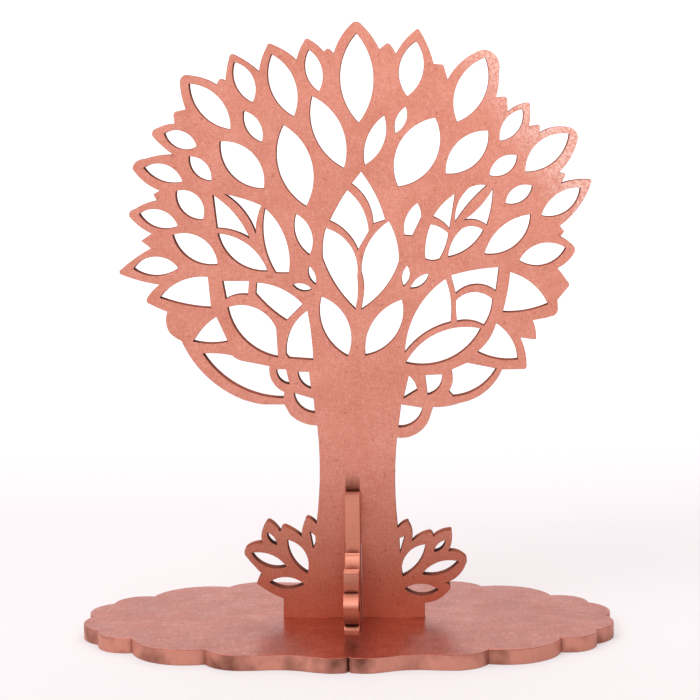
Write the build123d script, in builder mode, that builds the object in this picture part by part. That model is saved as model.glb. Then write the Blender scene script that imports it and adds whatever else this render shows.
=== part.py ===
"""Slot-together jewellery tree: a fretwork tree panel and a leafy cross brace stand on a scalloped base."""

import os

from build123d import *

# Driving dimensions in millimetres
sheet = 6.0
canopy_radius = 94.5
base_length = 213.0
base_depth = 125.0
brace_height = 58.0
halving_height = 37.0
stand_shift = 2.5
socket_near = 10.0
socket_length = 14.0
tab_clearance = 0.15
slot_clearance = 0.35
slot_end_clearance = 0.3
cut_overrun = 2.0

# Sizes that follow from the driving dimensions
base_top = sheet
slot_width = sheet + 2 * slot_clearance
tab_length = socket_length - 2 * tab_clearance
socket_width = sheet + 2 * tab_clearance
socket_middle = socket_near + socket_length / 2

# Every loop below is walked with the wood, or the open leaf, on the left hand.
# A corner is given across and up from the canopy centre in shares of the canopy radius.
# Its third number is the outward bow of the edge that leaves it, as a share of that edge's length.
# A straight edge has no bow.

# Right half of the foot: up the side, round five leaves, to the trunk
right_tuft_shares = [
    (0.303, -1.459, 0.12),
    (0.413, -1.396, 0.25),
    (0.390, -1.373, 0.13),
    (0.481, -1.285, 0.20),
    (0.474, -1.257, 0.12),
    (0.405, -1.235, 0.08),
    (0.420, -1.150, 0.30),
    (0.410, -1.142, 0.08),
    (0.341, -1.171, 0.20),
    (0.325, -1.151, 0.08),
    (0.251, -1.191, 0.10),
    (0.237, -1.113, 0.30),
    (0.228, -1.105, 0.08),
]
right_trunk_shares = [(0.190, -1.133, -0.027)]
# Looped branch and crescent under the right of the canopy
right_branch_shares = [
    (0.191, -0.742, 0.20),
    (0.335, -0.640, 0.0),
    (0.345, -0.612, 0.05),
    (0.455, -0.596, 0.13),
    (0.636, -0.454, 0.0),
]
# Leaves and buds round the rim, from the lower right over the top to the lower left
rim_shares = [
    (0.725, -0.453, 0.25), (0.739, -0.438, 0.06),
    (0.713, -0.319, 0.0), (0.772, -0.327, 0.30), (0.779, -0.318, 0.06),
    (0.765, -0.246, 0.02), (0.845, -0.230, 0.20), (0.870, -0.195, 0.02),
    (0.868, -0.162, 0.0), (0.914, -0.107, 0.25), (0.910, -0.085, 0.03),
    (0.868, -0.028, 0.08), (0.934, 0.028, 0.25), (0.925, 0.074, 0.06),
    (0.880, 0.103, 0.0), (0.897, 0.125, 0.0),
    (0.879, 0.149, 0.08), (1.009, 0.330, 0.30), (1.000, 0.341, 0.05),
    (0.884, 0.326, 0.0), (0.901, 0.359, 0.25), (0.895, 0.367, 0.0),
    (0.875, 0.371, 0.07), (0.949, 0.495, 0.25), (0.914, 0.558, 0.10),
    (0.795, 0.536, 0.0), (0.795, 0.562, 0.25), (0.787, 0.569, 0.0),
    (0.751, 0.563, 0.03), (0.755, 0.648, 0.30), (0.740, 0.661, 0.08),
    (0.663, 0.624, 0.0), (0.661, 0.670, 0.25), (0.645, 0.687, 0.0),
    (0.615, 0.685, 0.04), (0.627, 0.790, 0.25), (0.560, 0.881, 0.10),
    (0.415, 0.760, 0.0), (0.400, 0.812, 0.25), (0.385, 0.822, 0.0),
    (0.357, 0.826, 0.04), (0.300, 0.963, 0.30), (0.282, 0.963, 0.06),
    (0.201, 0.868, 0.04), (0.180, 0.903, 0.25), (0.160, 0.909, 0.0),
    (0.132, 0.888, 0.05), (0.060, 0.990, 0.25), (0.018, 0.993, 0.07),
    (-0.057, 0.873, 0.0), (-0.070, 0.887, 0.25), (-0.090, 0.889, 0.0),
    (-0.099, 0.880, 0.05), (-0.158, 0.932, 0.30), (-0.178, 0.926, 0.05),
    (-0.212, 0.848, 0.05), (-0.315, 0.915, 0.30), (-0.333, 0.907, 0.05),
    (-0.369, 0.802, 0.04), (-0.470, 0.873, 0.30), (-0.491, 0.864, 0.02),
    (-0.510, 0.765, 0.0), (-0.522, 0.772, 0.25), (-0.538, 0.768, 0.0),
    (-0.547, 0.750, 0.06), (-0.660, 0.791, 0.25), (-0.700, 0.765, 0.04),
    (-0.678, 0.650, 0.0), (-0.712, 0.643, 0.25), (-0.729, 0.620, 0.0),
    (-0.726, 0.592, 0.06), (-0.800, 0.573, 0.25), (-0.819, 0.540, 0.03),
    (-0.735, 0.462, 0.05), (-0.860, 0.445, 0.20), (-0.907, 0.405, 0.08),
    (-0.795, 0.313, 0.0), (-0.822, 0.298, 0.0),
    (-0.808, 0.271, 0.06), (-0.905, 0.235, 0.25), (-0.925, 0.205, 0.06),
    (-0.833, 0.133, 0.0), (-0.878, 0.103, 0.0),
    (-0.838, 0.071, 0.03), (-0.972, -0.022, 0.25), (-0.962, -0.040, 0.03),
    (-0.805, -0.083, 0.06), (-0.859, -0.140, 0.25), (-0.850, -0.163, 0.02),
    (-0.774, -0.198, 0.12), (-0.766, -0.288, 0.05),
]
# Crescent and looped branch under the left of the canopy
left_branch_shares = [
    (-0.717, -0.322, 0.10),
    (-0.460, -0.575, 0.02),
    (-0.380, -0.596, 0.0),
    (-0.285, -0.597, 0.0),
    (-0.262, -0.640, 0.10),
]
left_trunk_shares = [(-0.147, -0.688, -0.03)]
# Left half of the foot, from the trunk round five leaves to the side
left_tuft_shares = [
    (-0.157, -1.114, 0.08),
    (-0.188, -1.088, 0.30),
    (-0.205, -1.100, 0.06),
    (-0.221, -1.168, 0.04),
    (-0.290, -1.124, 0.20),
    (-0.307, -1.132, 0.0),
    (-0.313, -1.146, 0.06),
    (-0.355, -1.102, 0.25),
    (-0.375, -1.112, 0.12),
    (-0.389, -1.195, 0.08),
    (-0.455, -1.213, 0.20),
    (-0.463, -1.250, 0.02),
    (-0.391, -1.332, 0.10),
    (-0.412, -1.362, 0.30),
    (-0.408, -1.378, 0.04),
    (-0.302, -1.438, 0.0),
]

# Leaf openings round the rim
rim_leaf_shares = [
    [(-0.914, -0.015, 0.17), (-0.724, -0.012, 0.26)],
    [(-0.885, 0.216, 0.20), (-0.722, 0.165, 0.25)],
    [(-0.860, 0.409, 0.16), (-0.698, 0.350, 0.25)],
    [(-0.771, 0.551, 0.25), (-0.635, 0.497, 0.25)],
    [(-0.663, 0.756, 0.19), (-0.492, 0.565, 0.21)],
    [(-0.472, 0.843, 0.20), (-0.398, 0.675, 0.25)],
    [(-0.316, 0.873, 0.20), (-0.227, 0.615, 0.20)],
    [(-0.161, 0.890, 0.20), (-0.121, 0.717, 0.20)],
    [(0.038, 0.955, 0.20), (0.043, 0.586, 0.18)],
    [(0.286, 0.919, 0.23), (0.247, 0.693, 0.21)],
    [(0.571, 0.848, 0.22), (0.454, 0.585, 0.21)],
    [(0.725, 0.634, 0.21), (0.630, 0.504, 0.23)],
    [(0.918, 0.530, 0.24), (0.735, 0.375, 0.20)],
    [(0.964, 0.307, 0.18), (0.802, 0.192, 0.24)],
    [(0.904, 0.056, 0.23), (0.709, 0.005, 0.23)],
    [(0.672, -0.043, -0.02), (0.640, -0.211, 0.06), (0.829, -0.179, 0.11)],
    [(0.612, -0.258, -0.08), (0.532, -0.379, 0.08), (0.702, -0.412, 0.12)],
    [(-0.805, -0.138, 0.04), (-0.589, -0.183, 0.0), (-0.600, -0.052, 0.13)],
    [(-0.567, -0.221, 0.06), (-0.668, -0.325, 0.06), (-0.520, -0.327, 0.0)],
]
# Leaf openings in the middle of the canopy
inner_leaf_shares = [
    [(-0.727, 0.309, 0.24), (-0.617, 0.189, 0.33)],
    [(-0.745, 0.126, 0.20), (-0.557, 0.0, 0.25)],
    [(-0.669, 0.454, 0.23), (-0.577, 0.352, 0.24)],
    [(-0.538, 0.515, 0.23), (-0.357, 0.317, 0.25)],
    [(-0.436, 0.641, 0.20), (-0.362, 0.510, 0.22)],
    [(-0.272, 0.581, 0.20), (-0.182, 0.240, 0.21)],
    [(-0.150, 0.699, 0.18), (-0.021, 0.398, 0.19)],
    [(0.150, 0.615, 0.15), (0.066, 0.410, 0.18)],
    [(0.240, 0.650, 0.17), (0.196, 0.541, 0.19)],
    [(0.362, 0.603, 0.25), (0.205, 0.318, 0.26)],
    [(0.583, 0.547, 0.23), (0.405, 0.370, 0.24)],
    [(0.702, 0.443, 0.24), (0.586, 0.362, 0.26)],
    [(0.765, 0.316, 0.26), (0.653, 0.244, 0.23)],
    [(0.757, 0.198, 0.16), (0.564, 0.033, 0.23)],
]
# Openings between the branches, left half then right half
branch_opening_shares = [
    [(-0.573, 0.293, 0.0), (-0.558, 0.153, -0.07), (-0.420, 0.109, 0.08)],
    [(-0.522, 0.295, -0.09), (-0.394, 0.128, -0.06), (-0.369, 0.247, 0.03)],
    [(-0.554, 0.131, 0.19), (-0.347, -0.030, 0.15)],
    [(-0.354, 0.235, 0.10), (-0.314, -0.038, 0.0), (-0.258, -0.040, 0.13)],
    [(-0.224, 0.210, 0.17), (-0.170, 0.036, 0.21)],
    [(-0.171, -0.010, 0.19), (-0.145, -0.088, 0.14)],
    [(-0.242, -0.088, 0.21), (-0.162, -0.107, 0.17)],
    [(-0.008, 0.307, 0.02), (-0.083, 0.179, -0.10), (0.034, 0.057, 0.0), (0.080, 0.134, 0.11)],
    [
        (-0.100, 0.149, 0.05),
        (-0.115, 0.020, 0.06),
        (0.020, -0.194, 0.0),
        (0.030, -0.144, 0.02),
        (0.030, -0.052, 0.19),
    ],
    [(-0.122, -0.139, 0.18), (-0.015, -0.394, 0.22)],
    [(-0.539, -0.070, 0.0), (-0.526, -0.145, -0.09), (-0.432, -0.129, 0.0), (-0.426, -0.071, 0.0)],
    [(-0.395, -0.078, 0.0), (-0.399, -0.126, 0.04), (-0.272, -0.240, 0.0), (-0.201, -0.171, 0.10)],
    [(-0.519, -0.182, 0.16), (-0.309, -0.396, 0.0), (-0.315, -0.270, 0.20)],
    [(-0.182, -0.198, 0.13), (-0.275, -0.385, 0.0), (-0.262, -0.400, 0.0), (-0.160, -0.408, 0.02)],
    [
        (-0.628, -0.377, 0.13),
        (-0.289, -0.569, 0.0),
        (-0.285, -0.544, -0.17),
        (-0.346, -0.433, 0.0),
        (-0.452, -0.411, -0.08),
        (-0.504, -0.386, 0.04),
    ],
    [(-0.316, -0.446, 0.22), (-0.262, -0.510, 0.0), (-0.276, -0.447, 0.0)],
    [(-0.226, -0.458, 0.17), (-0.171, -0.530, 0.0), (-0.179, -0.458, 0.0)],
    [(-0.244, -0.548, 0.20), (-0.156, -0.634, 0.0), (-0.161, -0.573, 0.0)],
    [(0.051, 0.383, 0.0), (0.011, 0.333, -0.12), (0.100, 0.165, 0.0), (0.150, 0.180, 0.05)],
    [
        (0.165, 0.175, 0.13),
        (0.047, -0.039, -0.06),
        (0.056, -0.136, 0.0),
        (0.046, -0.195, 0.09),
        (0.205, 0.005, 0.07),
    ],
    [(0.285, 0.250, 0.15), (0.230, 0.115, 0.0), (0.262, 0.112, 0.0), (0.300, 0.190, 0.08)],
    [(0.240, -0.012, 0.15), (0.224, -0.099, 0.20)],
    [(0.330, -0.046, 0.15), (0.253, -0.108, 0.20)],
    [(0.442, 0.287, 0.06), (0.350, 0.192, -0.08), (0.418, 0.142, 0.0)],
    [(0.575, 0.320, 0.10), (0.500, 0.310, 0.12), (0.443, 0.171, -0.04)],
    [(0.601, 0.307, -0.06), (0.479, 0.176, -0.12), (0.574, 0.155, 0.04)],
    [(0.560, 0.133, 0.16), (0.470, 0.140, 0.10), (0.412, 0.022, 0.12)],
    [(0.340, 0.160, 0.06), (0.317, 0.015, 0.12), (0.376, 0.014, 0.05), (0.414, 0.121, 0.08)],
    [(0.625, -0.022, 0.03), (0.424, -0.054, 0.0), (0.444, -0.131, -0.19), (0.611, -0.122, 0.0)],
    [(0.597, -0.158, 0.22), (0.445, -0.160, 0.03), (0.449, -0.250, -0.10), (0.561, -0.268, 0.07)],
    [(0.548, -0.280, 0.17), (0.230, -0.424, 0.18)],
    [(0.401, -0.069, 0.12), (0.228, -0.379, -0.09), (0.421, -0.254, 0.06)],
    [(0.216, -0.155, 0.18), (0.060, -0.391, 0.22)],
    [
        (0.489, -0.424, 0.0),
        (0.422, -0.454, -0.13),
        (0.411, -0.545, 0.0),
        (0.430, -0.568, 0.13),
        (0.613, -0.450, 0.0),
    ],
    [(0.383, -0.473, 0.0), (0.312, -0.476, 0.0), (0.322, -0.560, 0.20)],
    [(0.243, -0.477, 0.0), (0.220, -0.575, 0.0), (0.278, -0.540, 0.10)],
    [(0.210, -0.600, 0.0), (0.197, -0.698, 0.20), (0.300, -0.615, 0.0)],
]
# Leaf openings of the two tufts at the foot
left_tuft_opening_shares = [
    [(-0.186, -1.146, 0.0), (-0.173, -1.220, 0.10), (-0.163, -1.164, 0.0)],
    [(-0.282, -1.182, 0.14), (-0.199, -1.329, 0.23)],
    [(-0.368, -1.149, 0.20), (-0.326, -1.204, 0.14)],
    [(-0.438, -1.239, 0.19), (-0.287, -1.299, 0.15)],
    [(-0.362, -1.367, 0.16), (-0.213, -1.376, 0.18)],
]
right_tuft_opening_shares = [
    [(0.221, -1.167, 0.0), (0.196, -1.178, 0.0), (0.199, -1.241, 0.0)],
    [(0.308, -1.204, 0.24), (0.210, -1.344, 0.14)],
    [(0.393, -1.186, 0.16), (0.344, -1.237, 0.20)],
    [(0.450, -1.279, 0.16), (0.292, -1.334, 0.16)],
    [(0.362, -1.401, 0.16), (0.217, -1.396, 0.20)],
]
# Height of the canopy centre above the base, half widths of the two feet,
# and how far the brace's tufts stand inwards and lower than the tree's
canopy_rise_share = 1.5238
foot_share = 0.303
brace_foot_share = 0.318
brace_inset_share = 0.090
brace_drop_share = 0.111

# One quarter of the scalloped base, from its end to the notch in the middle of its long side,
# in shares of its half sizes
scallop_shares = [
    (0.980, 0.0, 0.21),
    (0.928, 0.350, 0.25),
    (0.788, 0.540, 0.22),
    (0.511, 0.803, 0.14),
    (0.385, 0.947, 0.02),
    (0.282, 0.931, -0.05),
    (0.169, 0.951, 0.02),
    (0.085, 1.006, 0.06),
    (0.024, 1.003, 0.18),
    (0.0, 0.966, 0.0),
]


def canopy_point(across, up):
    """Place on a standing sheet, from shares of the canopy radius about the canopy centre."""
    return (across * canopy_radius, base_top + (canopy_rise_share + up) * canopy_radius)


def draw_loop(corners):
    """Closed line through corners of (x, y, bow), each edge an arc or a straight line."""
    for here, after in zip(corners, corners[1:] + corners[:1]):
        start = Vector(here[0], here[1])
        end = Vector(after[0], after[1])
        along = end - start
        bow = here[2]
        if bow == 0:
            Line(start, end)
        else:
            ThreePointArc(start, (start + end) / 2 + Vector(along.Y, -along.X) * bow, end)


def sheet_corners(shares):
    """Corners on a standing sheet from a loop of shares."""
    return [(*canopy_point(across, up), bow) for across, up, bow in shares]


def mirrored(shares):
    """The same edge loop seen in a mirror, walked the right way round again."""
    bows = [bow for across, up, bow in shares]
    turned_bows = bows[-2::-1] + bows[-1:]
    return [(-place[0], place[1], bow) for place, bow in zip(reversed(shares), turned_bows)]


def brought_in(shares):
    """A loop of the tree's right foot, moved to where the brace has it."""
    return [(across - brace_inset_share, up - brace_drop_share, bow) for across, up, bow in shares]


def add_tabs():
    """Two tabs that reach down through the base, one each side of the middle."""
    for side in (-1, 1):
        with Locations((side * socket_middle, base_top / 2)):
            Rectangle(tab_length, base_top)


# Base: a lying sheet with a scalloped edge and four through sockets in a cross, a little right of its middle.
# The lobes along its long sides move right with the sockets, so that both middle notches face the trunk.
half_shares = scallop_shares[:-1] + mirrored(scallop_shares)[:-1]
base_shares = half_shares + [(-x, -y, bow) for x, y, bow in half_shares]
base_edge = [(x * base_length / 2 + y**4 * stand_shift, y * base_depth / 2, bow) for x, y, bow in base_shares]

with BuildPart() as base_plate:
    with BuildSketch(Plane.XY):
        with BuildLine():
            draw_loop(base_edge)
        make_face()
        for side in (-1, 1):
            with Locations((stand_shift + side * socket_middle, 0)):
                Rectangle(socket_length, socket_width, mode=Mode.SUBTRACT)
            with Locations((stand_shift, side * socket_middle)):
                Rectangle(socket_width, socket_length, mode=Mode.SUBTRACT)
    extrude(amount=sheet)

# Brace: a small stem with a leaf tuft to the front and the back, slotted from its top edge
brace_foot = brace_foot_share * canopy_radius
stem_across, stem_foot_up = right_trunk_shares[0][:2]
stem_half_depth = (stem_across - brace_inset_share) * canopy_radius
brace_tuft_shares = brought_in(right_tuft_shares[1:] + [(stem_across, stem_foot_up, 0)])
brace_edge = [(brace_foot, base_top, 0)] + sheet_corners(brace_tuft_shares)
brace_edge += [(stem_half_depth, brace_height, 0), (-stem_half_depth, brace_height, 0)]
brace_edge += sheet_corners(mirrored(brace_tuft_shares)) + [(-brace_foot, base_top, 0)]
front_openings = [brought_in(loop) for loop in right_tuft_opening_shares[1:-1]]
brace_openings = front_openings + [mirrored(loop) for loop in front_openings]

with BuildPart() as cross_brace:
    with BuildSketch(Plane.YZ.offset(stand_shift)):
        with BuildLine():
            draw_loop(brace_edge)
        make_face()
        for opening in brace_openings:
            with BuildLine():
                draw_loop(sheet_corners(opening))
            make_face(mode=Mode.SUBTRACT)
        add_tabs()
        slot_depth = brace_height - halving_height + slot_end_clearance
        with Locations((0, brace_height - slot_depth / 2 + cut_overrun / 2)):
            Rectangle(slot_width, slot_depth + cut_overrun, mode=Mode.SUBTRACT)
    extrude(amount=sheet / 2, both=True)

# Tree: trunk, branches, leaves and foot tufts in one sheet, slotted from its bottom edge
tree_shares = right_tuft_shares + right_trunk_shares + right_branch_shares + rim_shares
tree_shares += left_branch_shares + left_trunk_shares + left_tuft_shares
foot_half_width = foot_share * canopy_radius
tree_edge = [(foot_half_width, base_top, 0)] + sheet_corners(tree_shares)
tree_edge += [(-foot_half_width, base_top, 0)]
tree_openings = rim_leaf_shares + inner_leaf_shares + branch_opening_shares
tree_openings += left_tuft_opening_shares + right_tuft_opening_shares

tree_plane = Plane(origin=(stand_shift, 0, 0), x_dir=(1, 0, 0), z_dir=(0, -1, 0))

with BuildPart() as tree_panel:
    with BuildSketch(tree_plane):
        with BuildLine():
            draw_loop(tree_edge)
        make_face()
        for opening in tree_openings:
            with BuildLine():
                draw_loop(sheet_corners(opening))
            make_face(mode=Mode.SUBTRACT)
        add_tabs()
        slot_height = halving_height - base_top
        with Locations((0, halving_height - (slot_height + cut_overrun) / 2)):
            Rectangle(slot_width, slot_height + cut_overrun, mode=Mode.SUBTRACT)
    extrude(amount=sheet / 2, both=True)

os.makedirs("parts", exist_ok=True)
for piece, name in ((base_plate, "base_plate"), (cross_brace, "cross_brace"), (tree_panel, "tree_panel")):
    piece.part.label = name
    export_step(piece.part, f"parts/{name}.step")
    print(name, "solids", len(piece.part.solids()), "volume", round(piece.part.volume))
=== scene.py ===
"""Rose-gold jewellery tree of three slotted fibreboard sheets, finished and lit as in the photograph."""

import math

import bmesh
import bpy
from mathutils import Matrix, Vector


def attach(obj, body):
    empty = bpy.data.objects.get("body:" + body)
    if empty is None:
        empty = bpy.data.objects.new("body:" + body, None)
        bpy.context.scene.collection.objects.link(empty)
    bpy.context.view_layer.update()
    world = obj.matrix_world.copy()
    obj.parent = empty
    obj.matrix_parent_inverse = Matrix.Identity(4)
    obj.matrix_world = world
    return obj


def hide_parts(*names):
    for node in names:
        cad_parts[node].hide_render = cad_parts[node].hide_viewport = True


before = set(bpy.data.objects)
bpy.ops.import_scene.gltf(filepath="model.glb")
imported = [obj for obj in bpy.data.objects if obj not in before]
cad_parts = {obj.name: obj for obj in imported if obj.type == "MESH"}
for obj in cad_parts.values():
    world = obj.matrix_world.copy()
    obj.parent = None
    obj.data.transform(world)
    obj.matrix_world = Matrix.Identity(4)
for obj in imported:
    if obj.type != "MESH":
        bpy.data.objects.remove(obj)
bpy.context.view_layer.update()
scene = bpy.context.scene
scene.view_settings.view_transform = "Standard"


# Base: a lying fibreboard sheet with a scalloped edge, cut by laser and painted in metallic rose gold.
# Its four through sockets hold the tabs of the two standing sheets, and it rests flat on the table.
# The brush was drawn along its length, which gives the eye a satin sheen with fine crossing streaks.
def colour(hex_code):
    """A display colour such as DE8F7C as the linear colour that a shader takes."""
    parts = [int(hex_code[at:at + 2], 16) / 255 for at in (0, 2, 4)]
    linear = [part / 12.92 if part <= 0.04045 else ((part + 0.055) / 1.055) ** 2.4 for part in parts]
    return (*linear, 1)


def add(material, kind, values=None, **settings):
    """A shader node with its settings; each value is a constant or the socket that feeds it."""
    tree = material.node_tree
    node = tree.nodes.new(kind)
    for name, setting in settings.items():
        setattr(node, name, setting)
    for key, value in (values or {}).items():
        if isinstance(value, bpy.types.NodeSocket):
            tree.links.new(value, node.inputs[key])
        else:
            node.inputs[key].default_value = value
    return node


def new_material(name):
    """An empty material with its surface output."""
    material = bpy.data.materials.new(name)
    material.use_nodes = True
    material.node_tree.nodes.clear()
    return material, add(material, "ShaderNodeOutputMaterial").inputs["Surface"]


def grain(material, size_mm, stretch=(1, 1, 1), detail=3, roughness=0.55):
    """A cloudy grain with blotches about size_mm across, drawn out along an axis by a stretch above one."""
    where = add(material, "ShaderNodeTexCoord").outputs["Object"]
    scale = [1000 / size_mm / factor for factor in stretch]
    placed = add(material, "ShaderNodeMapping", {"Vector": where, "Scale": scale}).outputs["Vector"]
    values = {"Vector": placed, "Scale": 1.0, "Detail": detail, "Roughness": roughness}
    return add(material, "ShaderNodeTexNoise", values).outputs["Fac"]


def brushed(material, deep, light, pale, speck, stroke_mm, ways):
    """Brushed paint, as its colour and its brush marks.

    The paint has soft blotches, strokes that cross, fine dust and a few dark fibres of the board.
    Strokes and dust are drawn coarser than real ones, so that they show at the photograph's scale.
    """
    clouds = grain(material, 14, detail=4)
    blotches = add(material, "ShaderNodeMapRange", {0: clouds, 1: 0.25, 2: 0.75}).outputs[0]
    coats = {0: blotches, 6: colour(deep), 7: colour(light)}
    body = add(material, "ShaderNodeMix", coats, data_type="RGBA").outputs[2]
    strokes = [grain(material, stroke_mm, way, detail=2, roughness=0.6) for way in ways]
    marks = add(material, "ShaderNodeMath", {0: strokes[0], 1: strokes[1]}, operation="ADD").outputs[0]
    ridges = add(material, "ShaderNodeMapRange", {0: marks, 1: 1.0, 2: 1.4, 4: 0.5}).outputs[0]
    body = add(material, "ShaderNodeMix", {0: ridges, 6: body, 7: colour(pale)}, data_type="RGBA").outputs[2]
    furrows = add(material, "ShaderNodeMapRange", {0: marks, 1: 1.0, 2: 0.6, 4: 0.6}).outputs[0]
    body = add(material, "ShaderNodeMix", {0: furrows, 6: body, 7: colour(deep)}, data_type="RGBA").outputs[2]
    powder = grain(material, 0.8, detail=2, roughness=0.7)
    dust = add(material, "ShaderNodeMapRange", {0: powder, 1: 0.52, 2: 0.72, 4: 0.45}).outputs[0]
    lumps = grain(material, 2.4, detail=0)
    fibres = add(material, "ShaderNodeMapRange", {0: lumps, 1: 0.76, 2: 0.82, 4: 0.5}).outputs[0]
    dark = add(material, "ShaderNodeMath", {0: dust, 1: fibres}, operation="MAXIMUM").outputs[0]
    body = add(material, "ShaderNodeMix", {0: dark, 6: body, 7: colour(speck)}, data_type="RGBA").outputs[2]
    return body, marks


def metallic(material, surface, body, marks, rough, coat):
    """Metallic paint, a little uneven in its shine, with raised brush marks and a thin varnish."""
    height = {"Height": marks, "Strength": 0.3, "Distance": 0.00005}
    bumped = add(material, "ShaderNodeBump", height).outputs["Normal"]
    rubbing = grain(material, 9, detail=5)
    shades = {0: rubbing, 1: 0.3, 2: 0.7, 3: rough - 0.05, 4: rough + 0.05}
    shine = add(material, "ShaderNodeMapRange", shades).outputs[0]
    shader = add(material, "ShaderNodeBsdfPrincipled", {
        "Base Color": body, "Metallic": 0.95, "Roughness": shine, "Normal": bumped,
        "Specular Tint": colour("FBF1EE"), "Coat Weight": coat, "Coat Roughness": 0.3,
    })
    material.node_tree.links.new(shader.outputs["BSDF"], surface)


def cut_wall(name, painted, scorch_and_shade, stretch, bare, hollow_mm, metal):
    """A laser-cut wall of fibreboard: dull, with fine lines through the sheet and bare scorched patches.

    Hollows and undersides are darkened with painted shade. The laser's lines are drawn coarser than real
    ones.
    """
    material, surface = new_material(name)
    lines = grain(material, 0.5, stretch, detail=3)
    worn = grain(material, 18, detail=3)
    patches = add(material, "ShaderNodeMapRange", {0: worn, 1: 0.45, 2: 0.7, 4: bare}).outputs[0]
    # Painted shade: the wall darkens in its hollows and on its undersides, in the same dark colour as the
    # scorch.
    nearby = {"Distance": hollow_mm / 1000}
    occlusion = add(material, "ShaderNodeAmbientOcclusion", nearby, only_local=True).outputs["AO"]
    painted_hollow_shade = add(material, "ShaderNodeMapRange", {0: occlusion, 1: 0.8, 2: 0.3}).outputs[0]
    facing = add(material, "ShaderNodeNewGeometry").outputs["Normal"]
    upward = add(material, "ShaderNodeSeparateXYZ", {"Vector": facing}).outputs["Z"]
    painted_underside_shade = add(material, "ShaderNodeMapRange", {0: upward, 1: -0.1, 2: -0.85, 4: 0.5}).outputs[0]
    painted_shade = add(material, "ShaderNodeMath", {0: painted_hollow_shade, 1: painted_underside_shade}, operation="MAXIMUM").outputs[0]
    scorch_and_painted_shade = add(material, "ShaderNodeMath", {0: patches, 1: painted_shade}, operation="MAXIMUM").outputs[0]
    cover_and_shade = {0: scorch_and_painted_shade, 6: colour(painted), 7: colour(scorch_and_shade)}
    body = add(material, "ShaderNodeMix", cover_and_shade, data_type="RGBA").outputs[2]
    burnt = add(material, "ShaderNodeMapRange", {0: lines, 1: 0.45, 2: 0.75, 4: 0.12}).outputs[0]
    stripes = {0: burnt, 6: body, 7: colour(scorch_and_shade)}
    lined = add(material, "ShaderNodeMix", stripes, data_type="RGBA").outputs[2]
    height = {"Height": lines, "Strength": 0.2, "Distance": 0.00005}
    bumped = add(material, "ShaderNodeBump", height).outputs["Normal"]
    shader = add(material, "ShaderNodeBsdfPrincipled", {
        "Base Color": lined, "Metallic": metal, "Roughness": 0.45,
        "Specular IOR Level": 0.0, "Normal": bumped,
    })
    material.node_tree.links.new(shader.outputs["BSDF"], surface)
    return material


def finished_sheet(node, name, across, rounding, materials, cut_kinds=("wall",)):
    """A sheet with its rims rounded; its cut walls, and by choice its rims, take the second material."""
    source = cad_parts[node].data
    mesh = bpy.data.meshes.new(name)
    points = [vertex.co for vertex in source.vertices]
    mesh.from_pydata(points, [], [face.vertices[:] for face in source.polygons])
    for material in materials:
        mesh.materials.append(material)
    work = bmesh.new()
    work.from_mesh(mesh)
    bmesh.ops.remove_doubles(work, verts=work.verts, dist=1e-6)
    bmesh.ops.dissolve_limit(work, angle_limit=math.radians(0.5), verts=work.verts, edges=work.edges)
    work.normal_update()
    flat = {face for face in work.faces if abs(face.normal[across]) > 0.99}
    rims = [edge for edge in work.edges if len({face in flat for face in edge.link_faces}) == 2]
    bmesh.ops.bevel(work, geom=rims, offset=rounding, segments=2, profile=0.5, affect="EDGES")
    work.normal_update()
    kinds = {}
    for face in work.faces:
        lean = abs(face.normal[across])
        kinds[face] = "wall" if lean < 0.05 else "flat" if lean > 0.99 else "rim"
        face.material_index = 1 if kinds[face] in cut_kinds else 0
        face.smooth = True
    for edge in work.edges:
        one_kind = len({kinds[face] for face in edge.link_faces}) == 1
        edge.smooth = one_kind and edge.calc_face_angle(0) < math.radians(40)
    work.to_mesh(mesh)
    work.free()
    piece = bpy.data.objects.new(name, mesh)
    scene.collection.objects.link(piece)
    return piece


base_paint, base_surface = new_material("rose_gold_paint_on_base")
base_body, base_marks = brushed(
    base_paint, deep="944A3B", light="B06656", pale="D29485", speck="74352A",
    stroke_mm=0.8, ways=((9, 2, 1), (1, 6, 1)),
)
metallic(base_paint, base_surface, base_body, base_marks, rough=0.31, coat=0.12)
base_wall = cut_wall(
    "painted_cut_wall_of_base", painted="C68776", scorch_and_shade="4A241A",
    stretch=(1, 1, 12), bare=0.8, hollow_mm=9, metal=0.6,
)
base_finishes = (base_paint, base_wall)
base = finished_sheet("base_plate", "base_finished", across=2, rounding=0.0002, materials=base_finishes)
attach(base, "base")
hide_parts("base_plate")

# Brace: a small leafy sheet of the same board across the trunk, slotted from its top and held
# by two tabs in the base. It is painted like the base; its leaf tips gleam, while the hollows between them
# and the undersides of its leaves are darkened with painted shade.
brace_paint, brace_surface = new_material("rose_gold_paint_on_brace")
brace_body, brace_marks = brushed(
    brace_paint, deep="C4715C", light="D2846F", pale="E4A392", speck="A4563F",
    stroke_mm=0.35, ways=((1, 1, 5), (1, 5, 1)),
)
metallic(brace_paint, brace_surface, brace_body, brace_marks, rough=0.36, coat=0.0)
brace_wall = cut_wall(
    "painted_cut_wall_of_brace", painted="CF8A75", scorch_and_shade="5E2C1E",
    stretch=(12, 1, 1), bare=0.3, hollow_mm=10, metal=0.6,
)
brace_finishes = (brace_paint, brace_wall)
brace = finished_sheet("cross_brace", "brace_finished", across=0, rounding=0.00015, materials=brace_finishes)
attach(brace, "brace")
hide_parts("cross_brace")

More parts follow.
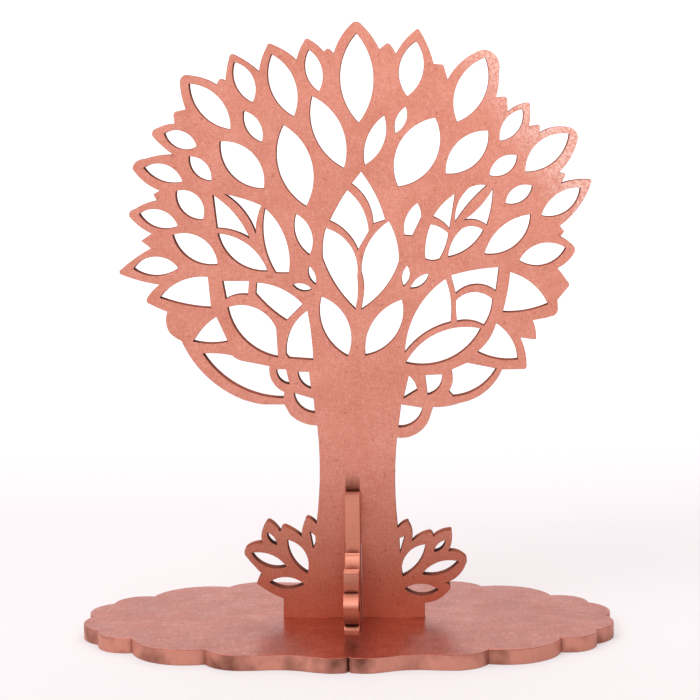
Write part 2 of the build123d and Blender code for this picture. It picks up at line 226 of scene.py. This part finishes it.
# Tree: the fretwork panel of trunk, branches and leaves, cut from the same board, painted on both faces.
# It slides down over the brace, trunk slot to brace slot, until its own two tabs stand in the base.
# Its satin paint is paler than the base's, and its thin cut walls and their rims stayed scorched brown.
tree_paint, tree_surface = new_material("rose_gold_paint_on_tree")
tree_body, tree_marks = brushed(
    tree_paint, deep="D38672", light="E39A87", pale="F2BDAF", speck="B06450",
    stroke_mm=0.35, ways=((5, 1, 1), (1, 1, 5)),
)
tree_place = add(tree_paint, "ShaderNodeTexCoord").outputs["Object"]
tree_axes = add(tree_paint, "ShaderNodeSeparateXYZ", {"Vector": tree_place}).outputs

# Painted highlight: bright glinting flecks, drawn coarser than real ones, sit in the paint of the outermost
# leaves at the upper right.
upper_right = (0.85, 0, 0.53)
glints_start, glints_full = 0.158, 0.174
along = {0: tree_place, 1: upper_right}
reach = add(tree_paint, "ShaderNodeVectorMath", along, operation="DOT_PRODUCT").outputs["Value"]
glint_zone = add(tree_paint, "ShaderNodeMapRange", {0: reach, 1: glints_start, 2: glints_full}).outputs[0]
glint_grain = grain(tree_paint, 0.9, detail=2)
glints = add(tree_paint, "ShaderNodeMapRange", {0: glint_grain, 1: 0.4, 2: 0.65, 3: 0.1, 4: 0.9}).outputs[0]
painted_glints = add(tree_paint, "ShaderNodeMath", {0: glint_zone, 1: glints}, operation="MULTIPLY").outputs[0]
with_painted_glints = {0: painted_glints, 6: tree_body, 7: colour("F8D3C8")}
tree_body = add(tree_paint, "ShaderNodeMix", with_painted_glints, data_type="RGBA").outputs[2]

# Painted shade: the colour darkens from 75 mm up the trunk down to the foot on the base.
foot_shade_from = 0.075
base_top = max(vertex.co.z for vertex in base.data.vertices)
foot_shade_span = {0: tree_axes["Z"], 1: foot_shade_from, 2: base_top, 4: 0.55}
painted_foot_shade = add(tree_paint, "ShaderNodeMapRange", foot_shade_span).outputs[0]
with_painted_foot_shade = {0: painted_foot_shade, 6: tree_body, 7: colour("B4502A")}
tree_body = add(tree_paint, "ShaderNodeMix", with_painted_foot_shade, data_type="RGBA").outputs[2]

# Painted shade: a streaky dark band as wide as the brace fades out in the 9 mm above the brace's top.
shade_gap, shade_height, inner_blur, outer_blur = 0.0005, 0.009, 0.0004, 0.0002
brace_sides = [vertex.co.x for vertex in brace.data.vertices]
brace_middle = (max(brace_sides) + min(brace_sides)) / 2
brace_half = (max(brace_sides) - min(brace_sides)) / 2
shade_bottom = max(vertex.co.z for vertex in brace.data.vertices) + shade_gap
sideways = {0: tree_axes["X"], 1: brace_middle}
from_middle = add(tree_paint, "ShaderNodeMath", sideways, operation="SUBTRACT").outputs[0]
aside = add(tree_paint, "ShaderNodeMath", {0: from_middle}, operation="ABSOLUTE").outputs[0]
narrowing = {0: aside, 1: brace_half - inner_blur, 2: brace_half + outer_blur, 3: 1, 4: 0}
over_brace = add(tree_paint, "ShaderNodeMapRange", narrowing).outputs[0]
rising = {0: tree_axes["Z"], 1: shade_bottom, 2: shade_bottom + shade_height, 3: 1, 4: 0}
rise = add(tree_paint, "ShaderNodeMapRange", rising).outputs[0]
shade_grain = grain(tree_paint, 0.5, (1, 1, 12))
streaks = add(tree_paint, "ShaderNodeMapRange", {0: shade_grain, 1: 0.35, 2: 0.6, 3: 1.9, 4: 1.3}).outputs[0]
fading = add(tree_paint, "ShaderNodeMath", {0: rise, 1: streaks}, operation="POWER").outputs[0]
painted_shade_above_brace = add(tree_paint, "ShaderNodeMath", {0: over_brace, 1: fading}, operation="MULTIPLY").outputs[0]
with_shade_above_brace = {0: painted_shade_above_brace, 6: tree_body, 7: colour("4E2418")}
tree_body = add(tree_paint, "ShaderNodeMix", with_shade_above_brace, data_type="RGBA").outputs[2]

metallic(tree_paint, tree_surface, tree_body, tree_marks, rough=0.36, coat=0.0)
tree_wall = cut_wall(
    "scorched_cut_wall_of_tree", painted="8A4A38", scorch_and_shade="43201A",
    stretch=(1, 12, 1), bare=0.5, hollow_mm=5, metal=0.1,
)
tree_finishes = (tree_paint, tree_wall)
tree = finished_sheet(
    "tree_panel", "tree_finished", across=1, rounding=0.0001,
    materials=tree_finishes, cut_kinds=("wall", "rim"),
)
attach(tree, "tree")
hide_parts("tree_panel")

# Stage: a white table top that sweeps up into a white backdrop behind the object.
# The camera and the metal see it brighter than it lights the room, so that it reads as a high-key studio.
floor_half_width, floor_front, floor_back = 6.0, -6.0, 1.4
sweep_radius, backdrop_top, sweep_steps = 0.6, 2.4, 16
profile = [(floor_front, 0.0), (floor_back, 0.0)]
for step in range(1, sweep_steps + 1):
    angle = math.radians(90) * step / sweep_steps
    profile.append((floor_back + sweep_radius * math.sin(angle), sweep_radius * (1 - math.cos(angle))))
profile.append((floor_back + sweep_radius, backdrop_top))
corners = [(side * floor_half_width, y, z) for y, z in profile for side in (-1, 1)]
strips = [(at, at + 1, at + 3, at + 2) for at in range(0, len(corners) - 2, 2)]
table_mesh = bpy.data.meshes.new("table")
table_mesh.from_pydata(corners, [], strips)
table_mesh.shade_smooth()
table = bpy.data.objects.new("table", table_mesh)
scene.collection.objects.link(table)
table_top, table_surface = new_material("white_table_top")
lit = add(table_top, "ShaderNodeBsdfDiffuse", {"Color": colour("D8D3D5")}).outputs["BSDF"]
place = add(table_top, "ShaderNodeTexCoord").outputs["Object"]
depth = add(table_top, "ShaderNodeSeparateXYZ", {"Vector": place}).outputs["Y"]
path = add(table_top, "ShaderNodeLightPath").outputs
far_behind = add(table_top, "ShaderNodeMapRange", {0: path["Is Camera Ray"], 3: 1.5, 4: 1.8}).outputs[0]
far_before = add(table_top, "ShaderNodeMapRange", {0: path["Is Camera Ray"], 3: 0.8, 4: 1.8}).outputs[0]
backwards = {0: depth, 1: 0.2, 2: floor_back, 3: 0.8, 4: far_behind}
behind = add(table_top, "ShaderNodeMapRange", backwards).outputs[0]
forwards = {0: depth, 1: -0.6, 2: -1.8, 3: 0.8, 4: far_before}
before = add(table_top, "ShaderNodeMapRange", forwards).outputs[0]
strength = add(table_top, "ShaderNodeMath", {0: behind, 1: before}, operation="MAXIMUM").outputs[0]
shining = {"Color": colour("FFFAFC"), "Strength": strength}
glow = add(table_top, "ShaderNodeEmission", shining).outputs["Emission"]
rays = {0: path["Is Camera Ray"], 1: path["Is Glossy Ray"]}
seen = add(table_top, "ShaderNodeMath", rays, operation="MAXIMUM").outputs[0]
share = add(table_top, "ShaderNodeMapRange", {0: seen, 4: 0.5}).outputs[0]
mixed = add(table_top, "ShaderNodeMixShader", {0: share, 1: lit, 2: glow}).outputs["Shader"]
table_top.node_tree.links.new(mixed, table_surface)
table_mesh.materials.append(table_top)

# Flag: a dark matt card on the table before the object, which only the foot's paint mirrors.
# It gives the foot of the tree and the brace their deeper tone.
flag_half_width, flag_front, flag_back, flag_height = 0.12, -0.16, -0.09, 0.001
flag_outline = [(-1, flag_front), (1, flag_front), (1, flag_back), (-1, flag_back)]
flag_corners = [(side * flag_half_width, y, flag_height) for side, y in flag_outline]
flag_mesh = bpy.data.meshes.new("flag")
flag_mesh.from_pydata(flag_corners, [], [(0, 1, 2, 3)])
flag = bpy.data.objects.new("flag", flag_mesh)
flag.visible_camera = flag.visible_diffuse = flag.visible_shadow = False
scene.collection.objects.link(flag)
flag_card, flag_surface = new_material("dark_flag_card")
matt = add(flag_card, "ShaderNodeBsdfDiffuse", {"Color": colour("1E1412")}).outputs["BSDF"]
flag_card.node_tree.links.new(matt, flag_surface)
flag_mesh.materials.append(flag_card)

# Light: a broad soft panel overhead and a little behind, a smaller one high at the front left,
# a faint one low at the front right, and a pale room that falls off towards the right.
world = bpy.data.worlds.new("room")
world.use_nodes = True
towards = add(world, "ShaderNodeTexCoord").outputs["Generated"]
rightward = add(world, "ShaderNodeSeparateXYZ", {"Vector": towards}).outputs["X"]
falling = add(world, "ShaderNodeMapRange", {0: rightward, 1: 0.1, 2: 0.9, 3: 1.04, 4: 0.47}).outputs[0]
for_camera = add(world, "ShaderNodeLightPath").outputs["Is Camera Ray"]
room_strength = add(world, "ShaderNodeMapRange", {0: for_camera, 3: falling, 4: 1.1}).outputs[0]
room_light = world.node_tree.nodes["Background"].inputs
room_light["Color"].default_value = colour("FFF8F6")
world.node_tree.links.new(room_strength, room_light["Strength"])
scene.world = world


def soft_panel(name, place, aim, side, power):
    """A square softbox at a place, facing a point."""
    data = bpy.data.lights.new(name, "AREA")
    data.size = side
    data.energy = power
    lamp = bpy.data.objects.new(name, data)
    lamp.location = place
    lamp.rotation_euler = (Vector(aim) - Vector(place)).to_track_quat("-Z", "Y").to_euler()
    scene.collection.objects.link(lamp)


canopy_middle = (0, 0, 0.15)
soft_panel("overhead", place=(0.1, 0.4, 1.4), aim=canopy_middle, side=2.4, power=25)
soft_panel("front_left", place=(-0.6, -0.9, 1.1), aim=canopy_middle, side=0.8, power=10)
soft_panel("front_right", place=(0.32, -0.95, 0.42), aim=canopy_middle, side=0.3, power=0.65)

# Camera: a long lens a little above the tree's middle and right of it, looking slightly down.
# Its place and turn were fitted to the base's outline and the panel's edges in the photograph.
photo_side = 700
focal_pixels = 2030
camera_data = bpy.data.cameras.new("camera")
camera_data.sensor_width = 36
camera_data.lens = camera_data.sensor_width * focal_pixels / photo_side
camera = bpy.data.objects.new("camera", camera_data)
scene.collection.objects.link(camera)
yaw, pitch, roll = (math.radians(angle) for angle in (2.20, 7.07, -0.71))
turn = Matrix.Rotation(yaw, 3, "Z")
forward = turn @ Vector((0, math.cos(pitch), -math.sin(pitch)))
level_right = turn @ Vector((1, 0, 0))
level_up = level_right.cross(forward)
right = math.cos(roll) * level_right + math.sin(roll) * level_up
up = math.cos(roll) * level_up - math.sin(roll) * level_right
camera_place = (0.03295, -0.8056, 0.215)
camera_turn = Matrix((right, up, -forward)).transposed().to_4x4()
camera.matrix_world = Matrix.Translation(camera_place) @ camera_turn
scene.camera = camera
